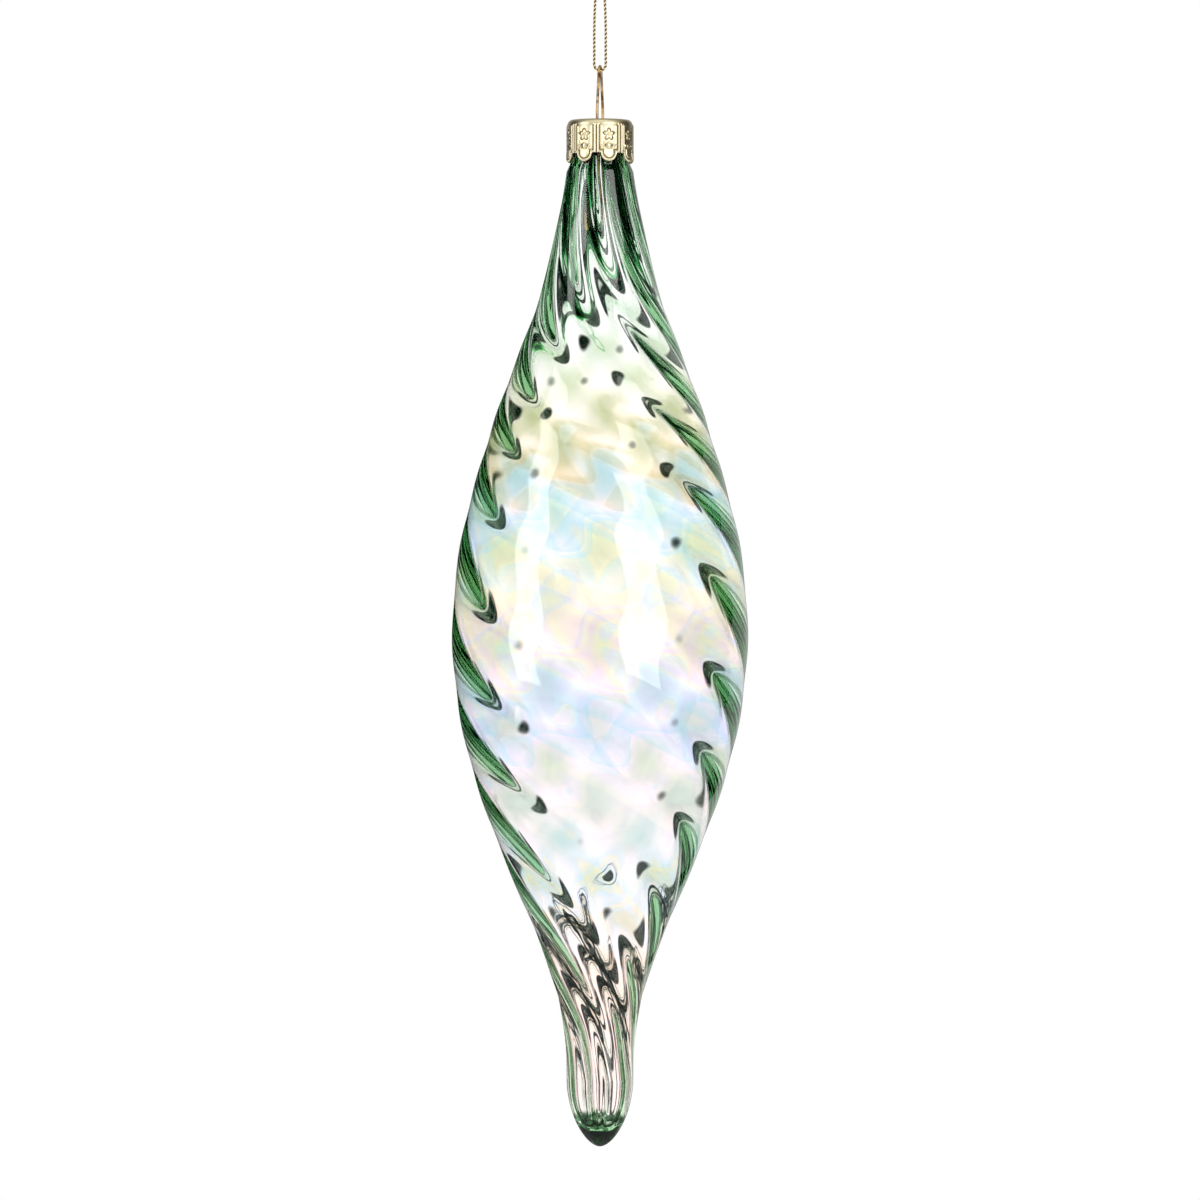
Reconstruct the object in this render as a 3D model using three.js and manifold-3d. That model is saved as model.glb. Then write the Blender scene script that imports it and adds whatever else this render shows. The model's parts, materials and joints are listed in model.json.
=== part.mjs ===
// Twisted glass drop ornament: a hollow blown drop with spiral ribs inside its wall, a stamped
// cap on its neck, a sprung wire bail through the cap and a loop of metallic thread.
// Millimetres, +Z up. The origin is the hang point: the inside top of the thread loop, under its knot.

import * as THREE from 'three';
import { mergeVertices } from 'three/addons/utils/BufferGeometryUtils.js';
import Module from 'manifold-3d';

const wasm = await Module();
wasm.setup();

// Clearance between pieces that rest on or run in each other
const FIT_GAP = 0.3;

// Thread loop
const THREAD_DIAMETER = 0.65;
const THREAD_SIDES = 8;
const THREAD_STEPS = 78;
// One strand's centre line from under the knot to the bottom of the loop, as [x, z]
const STRAND_ROUTE = [
  [0.55, -0.3],
  [0.62, -1.6],
  [0.82, -4.2],
  [1.05, -7.6],
  [1.22, -11.4],
  [1.3, -15.4],
  [1.3, -19.2],
  [1.3, -21.4],
  [1.3, -22.7],
  [1.13, -23.35],
  [0.65, -23.83],
  [0, -24],
];

// Knot above the hang point, with the thread's two cut tails
const KNOT_DIAMETER = 3.6;
const KNOT_HEIGHT = 3.8;
const KNOT_WAIST_DIAMETER = 2.7;
const KNOT_COLUMNS = 16;
// Outline of the knot from its underside to its top, as [share of its radius, share of its height]
const KNOT_LOWER_WRAP = [[0.72, 0.06], [1, 0.27]];
const KNOT_UPPER_WRAP = [[0.94, 0.75], [0.6, 0.96]];
const TAIL_LENGTH = 8;
const TAIL_HALF_SPREAD = 2.1;
const TAIL_ROOT = 0.35;
const TAIL_SINK = 0.8;
const TAIL_STEPS = 8;

// Wire bail: a drop-shaped eye above the cap, two straight legs inside the neck
const WIRE_DIAMETER = 0.6;
const WIRE_SIDES = 8;
const WIRE_STEPS = 100;
const EYE_HEIGHT = 12.05;
const EYE_TOP_RADIUS = 1.5;
const LEG_HALF_SPACING = 3.6;
const LEG_PARALLEL = 2.2;
const LEG_LENGTH = 24;
const EYE_ARC_STEPS = 4;

// Stamped cap
const CAP_DIAMETER = 14.7;
const CAP_WALL = 0.45;
const CAP_SKIRT = 7.6;
const CAP_SHOULDER = 1.1;
const CAP_PANELS = 8;
const CAP_COLUMNS_PER_PANEL = 12;
const PANEL_OFFSET_DEGREES = 3.5;
const LOBE_DROP = 2.05;
const LOBE_WIDTH_SHARE = 0.64;
const LOBE_FLARE = 0.12;
const EDGE_BAND = 1.2;
const RIDGE_HEIGHT = 0.28;
const RIDGE_WIDTH_SHARE = 0.2;
const BAIL_HOLE_CLEARANCE = 0.55;
const BAIL_HOLE_SIDES = 20;
// The cap's rounded shoulder from its top to its side, as shares of the shoulder's size
const SHOULDER_OUTSIDE = [[1, 0], [0.5, 0.13], [0.13, 0.5], [0, 1.3]];
const CAP_INSIDE_CORNER = 0.15;

// Blown glass drop
const BODY_LENGTH = 214;
const BELLY_DIAMETER = 66;
// Down the body from its rim: [share of its length, share of its belly's radius, turn of the ribs in degrees]
const BODY_STATIONS = [
  [0, 0.192, 0],
  [0.051, 0.227, 3],
  [0.112, 0.298, 14],
  [0.173, 0.392, 34],
  [0.238, 0.542, 70],
  [0.29, 0.67, 104],
  [0.346, 0.788, 145],
  [0.435, 0.939, 199],
  [0.54, 1, 247],
  [0.645, 0.915, 303],
  [0.738, 0.726, 357],
  [0.808, 0.539, 393],
  [0.879, 0.352, 430],
  [0.958, 0.232, 478],
  [1, 0.227, 490],
];
const NECK_CLEARANCE = 0.25;
const NECK_WALL = 1.6;
const NECK_RIB_HEIGHT = 0.3;
// The wall down the body: [share of its length, thickness, height of the ribs inside it]
const WALL_STATIONS = [
  [0, NECK_WALL, NECK_RIB_HEIGHT],
  [0.042, NECK_WALL, NECK_RIB_HEIGHT],
  [0.084, 2.2, 0.65],
  [0.187, 2, 0.6],
  [0.28, 1.6, 0.5],
  [0.374, 1.4, 0.45],
  [0.771, 1.4, 0.45],
  [0.888, 1.6, 0.5],
  [1, 1.6, 0.5],
];
const THROAT_LENGTH = 1.9;
const TIP_LENGTH = 14.8;
const TIP_SOLID = 4.4;
const TIP_ROUNDNESS = 1.75;
const CAVITY_ROUNDNESS = 2.2;
const RIB_COUNT = 8;
const RIB_PHASE_DEGREES = -13;
const SURFACE_RIPPLE = 0.14;
const RIPPLE_START_LENGTH = 16;
const COLUMNS_PER_RIB = 5;
const ROW_LENGTH = 11;
const ROW_TURN_DEGREES = 20;
const TURN_SAMPLE_LENGTH = 1;
const TIP_ROWS = 6;

// Heights that follow from the sizes above
const eyeTopZ = STRAND_ROUTE.at(-1)[1] + (THREAD_DIAMETER + WIRE_DIAMETER) / 2 + FIT_GAP;
const capTopZ = eyeTopZ - EYE_HEIGHT;
const rimZ = capTopZ - CAP_WALL - FIT_GAP;
const neckLength = CAP_SKIRT + LOBE_DROP - CAP_WALL - FIT_GAP;
const glassLength = BODY_LENGTH + TIP_LENGTH;
const cavityLength = glassLength - TIP_SOLID;
const neckRadius = CAP_DIAMETER / 2 - CAP_WALL - NECK_CLEARANCE;
const boreCrestRadius = neckRadius - NECK_WALL - NECK_RIB_HEIGHT;

const glassMaterial = new THREE.MeshStandardMaterial({
  color: 0xdcf0dc, roughness: 0.03, metalness: 0, transparent: true, opacity: 0.45,
});
const capMaterial = new THREE.MeshStandardMaterial({ color: 0xd9c48a, roughness: 0.3, metalness: 1 });
const wireMaterial = new THREE.MeshStandardMaterial({ color: 0x9a7440, roughness: 0.35, metalness: 1 });
const threadMaterial = new THREE.MeshStandardMaterial({ color: 0xd8b768, roughness: 0.45, metalness: 0.6 });

// Eases from 0 to 1 between start and end
function ease(start, end, value) {
  return THREE.MathUtils.smoothstep(value, start, end);
}

// A closed geometry as a solid, with its shared vertices merged and no collapsed triangles
function solidFrom(geometry) {
  const bare = geometry.clone();
  bare.deleteAttribute('normal');
  bare.deleteAttribute('uv');
  const merged = mergeVertices(bare);
  const corners = merged.index.array;
  const triangles = [];
  for (let i = 0; i < corners.length; i += 3) {
    const [a, b, c] = corners.subarray(i, i + 3);
    if (a !== b && b !== c && c !== a) triangles.push(a, b, c);
  }
  return new wasm.Manifold(new wasm.Mesh({
    numProp: 3,
    vertProperties: new Float32Array(merged.attributes.position.array),
    triVerts: new Uint32Array(triangles),
  }));
}

function geometryFrom(solid) {
  const mesh = solid.getMesh();
  const geometry = new THREE.BufferGeometry();
  geometry.setAttribute('position', new THREE.BufferAttribute(mesh.vertProperties, 3));
  geometry.setIndex(new THREE.BufferAttribute(mesh.triVerts, 1));
  return geometry;
}

// A round rod along a curve
function rodAlong(curve, diameter, sides, steps) {
  const section = new THREE.Shape();
  for (let i = 0; i < sides; i++) {
    const angle = (i / sides) * 2 * Math.PI;
    const x = (diameter / 2) * Math.cos(angle);
    const y = (diameter / 2) * Math.sin(angle);
    if (i === 0) section.moveTo(x, y);
    else section.lineTo(x, y);
  }
  return new THREE.ExtrudeGeometry(section, { steps, bevelEnabled: false, extrudePath: curve });
}

// A turned shape about Z, each vertex then moved by reshape(radius, angle, height)
function turnedShape(outline, columns, reshape) {
  const geometry = new THREE.LatheGeometry(outline, columns).rotateX(Math.PI / 2);
  const place = geometry.attributes.position;
  for (let i = 0; i < place.count; i++) {
    const radius = Math.hypot(place.getX(i), place.getY(i));
    const angle = Math.atan2(place.getY(i), place.getX(i));
    const moved = reshape(radius, angle, place.getZ(i));
    place.setXYZ(i, moved.radius * Math.cos(moved.angle), moved.radius * Math.sin(moved.angle), moved.height);
  }
  return geometry;
}

// One bight of thread: down one strand, under the wire and up the other
function threadLoop() {
  const down = STRAND_ROUTE.map(([x, z]) => new THREE.Vector3(-x, 0, z));
  const up = STRAND_ROUTE.slice(0, -1).reverse().map(([x, z]) => new THREE.Vector3(x, 0, z));
  const route = new THREE.CatmullRomCurve3([...down, ...up], false, 'centripetal');
  return rodAlong(route, THREAD_DIAMETER, THREAD_SIDES, THREAD_STEPS);
}

// The knot's two wraps with a waist between them, and its cut tails
function threadKnot() {
  const wrapPoint = ([radiusShare, heightShare]) => new THREE.Vector2(
    (KNOT_DIAMETER / 2) * radiusShare,
    KNOT_HEIGHT * heightShare,
  );
  const outline = new THREE.SplineCurve([
    new THREE.Vector2(0, 0),
    ...KNOT_LOWER_WRAP.map(wrapPoint),
    new THREE.Vector2(KNOT_WAIST_DIAMETER / 2, KNOT_HEIGHT / 2),
    ...KNOT_UPPER_WRAP.map(wrapPoint),
    new THREE.Vector2(0, KNOT_HEIGHT),
  ]).getPoints(KNOT_COLUMNS);
  outline[0].x = 0;
  outline.at(-1).x = 0;
  let knot = solidFrom(new THREE.LatheGeometry(outline, KNOT_COLUMNS).rotateX(Math.PI / 2));
  for (const side of [-1, 1]) {
    const tail = new THREE.QuadraticBezierCurve3(
      new THREE.Vector3(side * TAIL_ROOT, 0, KNOT_HEIGHT - TAIL_SINK),
      new THREE.Vector3(side * TAIL_ROOT, 0, KNOT_HEIGHT + TAIL_LENGTH / 2),
      new THREE.Vector3(side * TAIL_HALF_SPREAD, 0, KNOT_HEIGHT + TAIL_LENGTH),
    );
    knot = knot.add(solidFrom(rodAlong(tail, THREAD_DIAMETER, THREAD_SIDES, TAIL_STEPS)));
  }
  return geometryFrom(knot);
}

// The wire's centre line in the YZ plane, from one leg's tip over the eye to the other's
function bailRoute() {
  const arcCentreZ = eyeTopZ - EYE_TOP_RADIUS;
  const shoulderZ = capTopZ + LEG_PARALLEL;
  const tipHalfSpacing = boreCrestRadius - FIT_GAP - WIRE_DIAMETER / 2;
  // The sloping side is tangent to the arc at the top of the eye
  const reach = Math.hypot(LEG_HALF_SPACING, arcCentreZ - shoulderZ);
  const lean = Math.atan2(LEG_HALF_SPACING, arcCentreZ - shoulderZ);
  const tangent = Math.acos(EYE_TOP_RADIUS / reach);
  const arcEnd = Math.PI - tangent - lean;
  const arcPoint = (angle) => [
    EYE_TOP_RADIUS * Math.sin(angle),
    arcCentreZ + EYE_TOP_RADIUS * Math.cos(angle),
  ];
  const between = ([y0, z0], [y1, z1]) => [(y0 + y1) / 2, (z0 + z1) / 2];
  const tip = [tipHalfSpacing, capTopZ - LEG_LENGTH];
  const plate = [LEG_HALF_SPACING, capTopZ - CAP_WALL];
  const shoulder = [LEG_HALF_SPACING, shoulderZ];
  const side = [
    tip,
    between(tip, plate),
    plate,
    between(plate, shoulder),
    shoulder,
    between(shoulder, arcPoint(arcEnd)),
  ];
  for (let i = 0; i < EYE_ARC_STEPS; i++) side.push(arcPoint(arcEnd * (1 - i / EYE_ARC_STEPS)));
  const left = side.map(([y, z]) => new THREE.Vector3(0, -y, z));
  const right = side.map(([y, z]) => new THREE.Vector3(0, y, z)).reverse();
  const top = new THREE.Vector3(0, 0, eyeTopZ);
  return new THREE.CatmullRomCurve3([...left, top, ...right], false, 'centripetal');
}

// Where an angle lies in its panel: 0 at the panel's middle, 1 at the ridges beside it
function panelShare(angle) {
  const pitch = (2 * Math.PI) / CAP_PANELS;
  const middle = -Math.PI / 2 + THREE.MathUtils.degToRad(PANEL_OFFSET_DEGREES) + pitch / 2;
  const turns = (angle - middle) / pitch;
  return 2 * Math.abs(turns - Math.round(turns));
}

// A cup with upright panels, ridges between them and a rounded lobe under each
function stampedCap() {
  const outer = CAP_DIAMETER / 2;
  const inner = outer - CAP_WALL;
  const valley = -(CAP_SKIRT - EDGE_BAND);
  const outline = [
    new THREE.Vector2(0, -CAP_WALL),
    new THREE.Vector2(inner - CAP_INSIDE_CORNER, -CAP_WALL),
    new THREE.Vector2(inner, -CAP_WALL - CAP_INSIDE_CORNER),
    new THREE.Vector2(inner, -SHOULDER_OUTSIDE.at(-1)[1] * CAP_SHOULDER),
    new THREE.Vector2(inner, valley),
    new THREE.Vector2(inner + LOBE_FLARE, -CAP_SKIRT),
    new THREE.Vector2(outer + LOBE_FLARE, -CAP_SKIRT),
    new THREE.Vector2(outer, valley),
    ...SHOULDER_OUTSIDE.map(([inShare, downShare]) => new THREE.Vector2(
      outer - CAP_SHOULDER * inShare,
      -CAP_SHOULDER * downShare,
    )).reverse(),
    new THREE.Vector2(0, 0),
  ];
  const columns = CAP_PANELS * CAP_COLUMNS_PER_PANEL;
  const cup = turnedShape(outline, columns, (radius, angle, height) => {
    const share = panelShare(angle);
    const onSkirt = radius > inner - FIT_GAP && height < -CAP_SHOULDER;
    const ridge = onSkirt ? RIDGE_HEIGHT * ease(1 - RIDGE_WIDTH_SHARE, 1, share) : 0;
    const onEdge = height < valley - EDGE_BAND / 2;
    const lobe = onEdge ? LOBE_DROP * Math.sqrt(Math.max(0, 1 - (share / LOBE_WIDTH_SHARE) ** 2)) : 0;
    return { radius: radius + ridge, angle, height: height - lobe };
  });
  let cap = solidFrom(cup);
  const holeRadius = WIRE_DIAMETER / 2 + BAIL_HOLE_CLEARANCE;
  for (const side of [-1, 1]) {
    const hole = new THREE.CylinderGeometry(holeRadius, holeRadius, 4 * CAP_WALL, BAIL_HOLE_SIDES);
    hole.rotateX(Math.PI / 2).translate(0, side * LEG_HALF_SPACING, 0);
    cap = cap.subtract(solidFrom(hole));
  }
  return geometryFrom(cap.translate([0, 0, capTopZ]));
}

const bodyStations = new THREE.CubicInterpolant(
  BODY_STATIONS.map(([lengthShare]) => lengthShare),
  BODY_STATIONS.flatMap(([, radiusShare, turn]) => [radiusShare, turn]),
  2,
  new Float64Array(2),
);

const wallStations = new THREE.LinearInterpolant(
  WALL_STATIONS.map(([lengthShare]) => lengthShare),
  WALL_STATIONS.flatMap(([, thickness, ribHeight]) => [thickness, ribHeight]),
  2,
  new Float64Array(2),
);

// How far down the body a depth below the rim lies, as a share of its length; the tip counts as its end
function bodyShare(depth) {
  return Math.min(depth / BODY_LENGTH, 1);
}

function bodyRadius(depth) {
  return (BELLY_DIAMETER / 2) * bodyStations.evaluate(bodyShare(depth))[0];
}

// How far the ribs have turned at a depth below the rim, in radians
function ribTurn(depth) {
  return THREE.MathUtils.degToRad(RIB_PHASE_DEGREES + bodyStations.evaluate(bodyShare(depth))[1]);
}

// A rounded end between the depths start and end: 1 at its start, 0 at its pole
function roundedEnd(depth, start, end, roundness) {
  const share = THREE.MathUtils.clamp((depth - start) / (end - start), 0, 1);
  return (1 - share ** roundness) ** (1 / roundness);
}

// The straight neck inside the cap, the throat that opens below it, the body and the tip
function outerRadius(depth) {
  const throat = ease(neckLength, neckLength + THROAT_LENGTH, depth);
  const side = neckRadius + (bodyRadius(depth) - neckRadius) * throat;
  return side * roundedEnd(depth, BODY_LENGTH, glassLength, TIP_ROUNDNESS);
}

function innerRadius(depth) {
  const wall = wallStations.evaluate(bodyShare(depth))[0];
  const side = outerRadius(Math.min(depth, BODY_LENGTH)) - wall;
  return side * roundedEnd(depth, BODY_LENGTH, cavityLength, CAVITY_ROUNDNESS);
}

// Inside, the ribs rise towards the axis, and end with the cavity
function ribHeight(depth) {
  const height = wallStations.evaluate(bodyShare(depth))[1];
  return height * roundedEnd(depth, BODY_LENGTH, cavityLength, CAVITY_ROUNDNESS);
}

// Outside, the same ribs leave only a slight ripple
function rippleHeight(depth) {
  const start = ease(neckLength, neckLength + RIPPLE_START_LENGTH, depth);
  return SURFACE_RIPPLE * start * roundedEnd(depth, BODY_LENGTH, glassLength, TIP_ROUNDNESS);
}

// Depths of the rows: closer together where the ribs turn fast
function rowDepths() {
  const depths = [0, neckLength / 2, neckLength, neckLength + THROAT_LENGTH / 2];
  let depth = neckLength + THROAT_LENGTH;
  while (depth < BODY_LENGTH) {
    depths.push(depth);
    const turn = THREE.MathUtils.radToDeg(ribTurn(depth + TURN_SAMPLE_LENGTH) - ribTurn(depth));
    const degreesPerMillimetre = turn / TURN_SAMPLE_LENGTH;
    depth += 1 / (1 / ROW_LENGTH + degreesPerMillimetre / ROW_TURN_DEGREES);
  }
  return depths;
}

function endDepths(end) {
  const depths = [];
  for (let i = 0; i <= TIP_ROWS; i++) {
    depths.push(BODY_LENGTH + (end - BODY_LENGTH) * Math.sin((i / TIP_ROWS) * (Math.PI / 2)));
  }
  return depths;
}

// A hollow drop, open at the neck, whose rows of vertices follow the spiral of the ribs
function blownGlass() {
  const outside = [...rowDepths(), ...endDepths(glassLength)];
  const inside = [...rowDepths(), ...endDepths(cavityLength)];
  const outline = [
    ...outside.map((depth) => new THREE.Vector2(outerRadius(depth), -depth)).reverse(),
    ...inside.map((depth) => new THREE.Vector2(innerRadius(depth), -depth)),
  ];
  outline[0].x = 0;
  outline.at(-1).x = 0;
  const drop = turnedShape(outline, RIB_COUNT * COLUMNS_PER_RIB, (radius, angle, height) => {
    const depth = -height;
    const wave = Math.cos(RIB_COUNT * angle);
    const isInside = radius < (innerRadius(depth) + outerRadius(depth)) / 2 && depth < cavityLength;
    const rise = isInside ? -ribHeight(depth) * wave : rippleHeight(depth) * wave;
    return {
      radius: Math.max(0, radius + rise),
      angle: angle + ribTurn(depth),
      height: height + rimZ,
    };
  });
  return geometryFrom(solidFrom(drop));
}

function piece(name, geometry, material) {
  const mesh = new THREE.Mesh(geometry, material);
  mesh.name = name;
  return mesh;
}

const ornament = new THREE.Group();
ornament.add(
  piece('cord_knot', threadKnot(), threadMaterial),
  piece('cord_loop', threadLoop(), threadMaterial),
  piece('bail', rodAlong(bailRoute(), WIRE_DIAMETER, WIRE_SIDES, WIRE_STEPS), wireMaterial),
  piece('cap', stampedCap(), capMaterial),
  piece('glass_body', blownGlass(), glassMaterial),
);

export default ornament;
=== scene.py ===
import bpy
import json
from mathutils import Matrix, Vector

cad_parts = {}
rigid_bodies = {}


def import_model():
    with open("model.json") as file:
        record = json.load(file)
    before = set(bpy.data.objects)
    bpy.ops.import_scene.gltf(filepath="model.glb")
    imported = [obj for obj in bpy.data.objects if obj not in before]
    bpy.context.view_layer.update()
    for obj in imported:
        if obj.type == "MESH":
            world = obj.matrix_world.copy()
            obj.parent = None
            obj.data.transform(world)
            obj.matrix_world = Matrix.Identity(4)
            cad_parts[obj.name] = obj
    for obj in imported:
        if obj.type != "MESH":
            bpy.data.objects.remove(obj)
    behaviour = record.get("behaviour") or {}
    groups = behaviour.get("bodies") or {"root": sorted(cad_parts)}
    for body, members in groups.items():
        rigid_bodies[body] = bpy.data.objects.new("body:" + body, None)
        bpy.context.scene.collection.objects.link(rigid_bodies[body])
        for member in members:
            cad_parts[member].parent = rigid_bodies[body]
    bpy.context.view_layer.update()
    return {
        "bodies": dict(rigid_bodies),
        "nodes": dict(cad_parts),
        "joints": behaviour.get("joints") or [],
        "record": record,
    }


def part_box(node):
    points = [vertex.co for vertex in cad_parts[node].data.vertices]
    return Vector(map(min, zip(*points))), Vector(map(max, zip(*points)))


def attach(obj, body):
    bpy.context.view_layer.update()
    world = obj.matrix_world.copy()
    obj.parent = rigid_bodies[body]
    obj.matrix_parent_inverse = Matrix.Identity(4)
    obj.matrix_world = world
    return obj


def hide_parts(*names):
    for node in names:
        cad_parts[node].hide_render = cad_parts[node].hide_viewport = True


bl_info = {
    "name": "Glass Spiral Ornament",
    "version": (1, 0, 0),
    "blender": (4, 5, 0),
    "location": "View3D > Sidebar > Ornament",
    "description": "Builds a glass drop with spiral ribs, its stamped cap, wire bail and thread",
    "category": "Add Mesh",
}

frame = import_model()

import json
import math
from bisect import bisect_right

import bmesh
import bpy
from bpy.props import FloatProperty, FloatVectorProperty, IntProperty, PointerProperty
from mathutils import Color, Matrix, Vector

MERGE_DISTANCE = 1e-7
UP = Vector((0, 0, 1))
FULL_TURN = 2 * math.pi

# Heights taken from the frame, in metres
CAP_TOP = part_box("cap")[1][2]
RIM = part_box("glass_body")[1][2]
EYE_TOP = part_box("bail")[1][2]

# One strand of the thread from under the knot to the bottom of the loop, as x and z in metres
STRAND_ROUTE = [
    (0.00055, -0.0003), (0.00062, -0.0016), (0.00082, -0.0042), (0.00105, -0.0076),
    (0.00122, -0.0114), (0.0013, -0.0154), (0.0013, -0.0192), (0.0013, -0.0214),
    (0.0013, -0.0227), (0.00113, -0.02335), (0.00065, -0.02383), (0, -0.024),
]
LOOP_STEPS = 26
PLY_SIDES = 16
# The thread's section: its waist as a share of its width, and how fast it fills out beside it
PLY_WAIST = 0.38
PLY_FULLNESS = 1.5

# The knot: a doubled overhand knot, with two cut tails
KNOT_CENTRE = 0.0019
KNOT_WIDTH = 0.00052
KNOT_DEPTH = 0.0005
KNOT_RISE = 0.00015
KNOT_REACH = 1.95
KNOT_POINTS = 26
KNOT_STEPS = 7
STRAND_SPACING = 0.00034
TAIL_ROUTE = [
    (0.00035, 0.0042), (0.0004, 0.006), (0.00078, 0.0084), (0.0014, 0.0102), (0.0021, 0.0118),
]

# The wire: a drop-shaped eye above the cap, and two legs through it
EYE_TOP_RADIUS = 0.0015
LEG_HALF_SPACING = 0.0036
LEG_TIP_HALF_SPACING = 0.00415
LEG_PARALLEL = 0.0022
LEG_LENGTH = 0.024
WIRE_SIDES = 20
WIRE_STEPS = 16
EYE_ARC_POINTS = 4

# The cap, stamped from sheet
CAP_RADIUS = 0.00735
CAP_WALL = 0.00045
CAP_BORE = CAP_RADIUS - CAP_WALL
CAP_SKIRT = 0.0076
CAP_SHOULDER = 0.0011
CAP_SKIRT_TOP = 1.3 * CAP_SHOULDER
SHOULDER_STEPS = 8
# The corner inside the cap: distance in from the bore, depth under the plate
CAP_INSIDE_CORNER = [(0.00025, 0), (0.00008, 0.00008), (0, 0.00025)]
# The lower edge: share of the wall that it rounds off on each side, and how far it bulges
EDGE_INSET = 0.15
EDGE_BULGE = 0.00004
CAP_SHARP_ANGLE = math.radians(50)
CAP_PANELS = 8
COLUMNS_PER_PANEL = 48
SKIRT_ROWS = 66
INNER_ROW_STEP = 6
PANEL_OFFSET = math.radians(3.5)
PANEL_PITCH = FULL_TURN / CAP_PANELS
LOBE_DROP = 0.00205
LOBE_SHARE = 0.64
LOBE_FLARE = 0.00012
EDGE_BAND = 0.0012
BAIL_HOLE_RADIUS = 0.001
BAIL_HOLE_SIDES = 28

# The ornament stamped on each panel: lines along its outline, as distance from the outline,
# relief and half width, then the rosette and the seeds under it
PANEL_LINES = [
    (0, -1, 0.00014),
    (0.00038, 1, 0.00018),
    (0.0008, -1, 0.00014),
    (0.00112, 0.6, 0.00016),
]
LINE_TO_EDGE = 0.0002
LINE_TO_TOP = 0.0006
ROSETTE_DEPTH = 0.0036
ROSETTE_RADIUS = 0.0012
ROSETTE_PETALS = 5
# Reliefs of petals and grooves, then shares: the notch between petals, where a petal starts to
# fall, where its outline runs, and the boss
PETAL_RELIEF = 0.5
GROOVE_RELIEF = 0.8
PETAL_NOTCH = 0.5
PETAL_FALL = 0.7
PETAL_OUTLINE = 1.12
BOSS_SHARE = 0.28
OUTLINE_WIDTH = 0.00014
BOSS_GROOVE_WIDTH = 0.00012
# Seeds: place across the panel, depth below the cap's top, radius
SEEDS = [
    (-0.0012, 0.006, 0.00022),
    (0, 0.0061, 0.00045),
    (0.0012, 0.006, 0.00022),
]
# The groove round a seed: relief, then distance and width in radii of the seed
SEED_GROOVE = (0.5, 1.7, 0.4)

# The drop's outline from its rim to the end of its ribs:
# share of its length, share of its belly's radius, turn of the ribs in degrees
BODY_STATIONS = [
    (0, 0.192, 0), (0.051, 0.227, 3), (0.112, 0.298, 14),
    (0.173, 0.392, 34), (0.238, 0.542, 70), (0.29, 0.67, 104),
    (0.346, 0.788, 145), (0.435, 0.939, 199), (0.54, 1, 247),
    (0.645, 0.915, 303), (0.738, 0.726, 357), (0.808, 0.539, 393),
    (0.879, 0.352, 430), (0.958, 0.232, 478), (1, 0.227, 490),
]
# The glass: depth below the rim, wall, height of the ribs inside it, in metres
WALL_STATIONS = [
    (0, 0.0016, 0.0003), (0.009, 0.0015, 0.0003),
    (0.018, 0.0015, 0.0006), (0.06, 0.0014, 0.0005),
    (0.08, 0.0014, 0.00043), (0.165, 0.0014, 0.00043),
    (0.19, 0.0011, 0.00042), (0.214, 0.001, 0.0004),
]
BODY_LENGTH = 0.214
TIP_LENGTH = 0.0148
TIP_SOLID = 0.0044
TIP_ROUNDNESS = 1.75
CAVITY_ROUNDNESS = 2.2
NECK_RADIUS = 0.00665
NECK_LENGTH = 0.0089
THROAT_LENGTH = 0.0019
RIPPLE_START = 0.016
RIB_COUNT = 8
RIB_PHASE = math.radians(-13)
RIB_UNEVENNESS = 2.4
GLASS_COLUMNS = 176
BODY_ROWS = 236
TIP_ROWS = 24

# Finishes. NOISE: scale, detail. EDGE: where a mask starts and is full. BUMP: strength, distance
# The thread's crowns: above these heights on a ply, the painted shade of the valleys gives way to
# gold
CROWN_EDGE = (0.62, 0.82)
FILAMENT_NOISE = (9000, 3)
FILAMENT_EDGE = (0.35, 0.7)
FILAMENT_BUMP = (0.5, 0.00005)
# Painted sheen: the pale colour that fine filaments take on the thread's gold
FILAMENT_SHEEN = (1, 0.93, 0.68)
THREAD_METALLIC = 0.8
THREAD_ROUGHNESS = 0.34
THREAD_DULLING = 0.2
TARNISH_NOISE = (420, 3)
TARNISH_EDGE = (0.42, 0.6)
SCRATCH_NOISE = (5200, 2)
SCRATCH_BUMP = (0.25, 0.00004)
WIRE_ROUGHNESS = 0.2
WIRE_DULLING = 0.2
CLOUD_NOISE = (260, 3)
CLOUD_EDGE = (0.4, 0.7)
CLOUD_COLOUR = (0.82, 0.7, 0.4)
GRAIN_NOISE = (2600, 4)
GRAIN_BUMP = (0.18, 0.00006)
GROOVE_EDGE = (-0.6, -0.1)
GROOVE_UNEVENNESS = 0.2
GROOVE_SHARE = 0.85
WORN_EDGE = (0.25, 0.9)
WORN_COLOUR = (1, 0.95, 0.78)
WORN_SHARE = 0.7
SHEET_ROUGHNESS = 0.2
SHEET_DULLING = 0.14
GROOVE_DULLING = 0.2
NOISE_MEAN = 0.5
GLASS_IOR = 1.5
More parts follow.
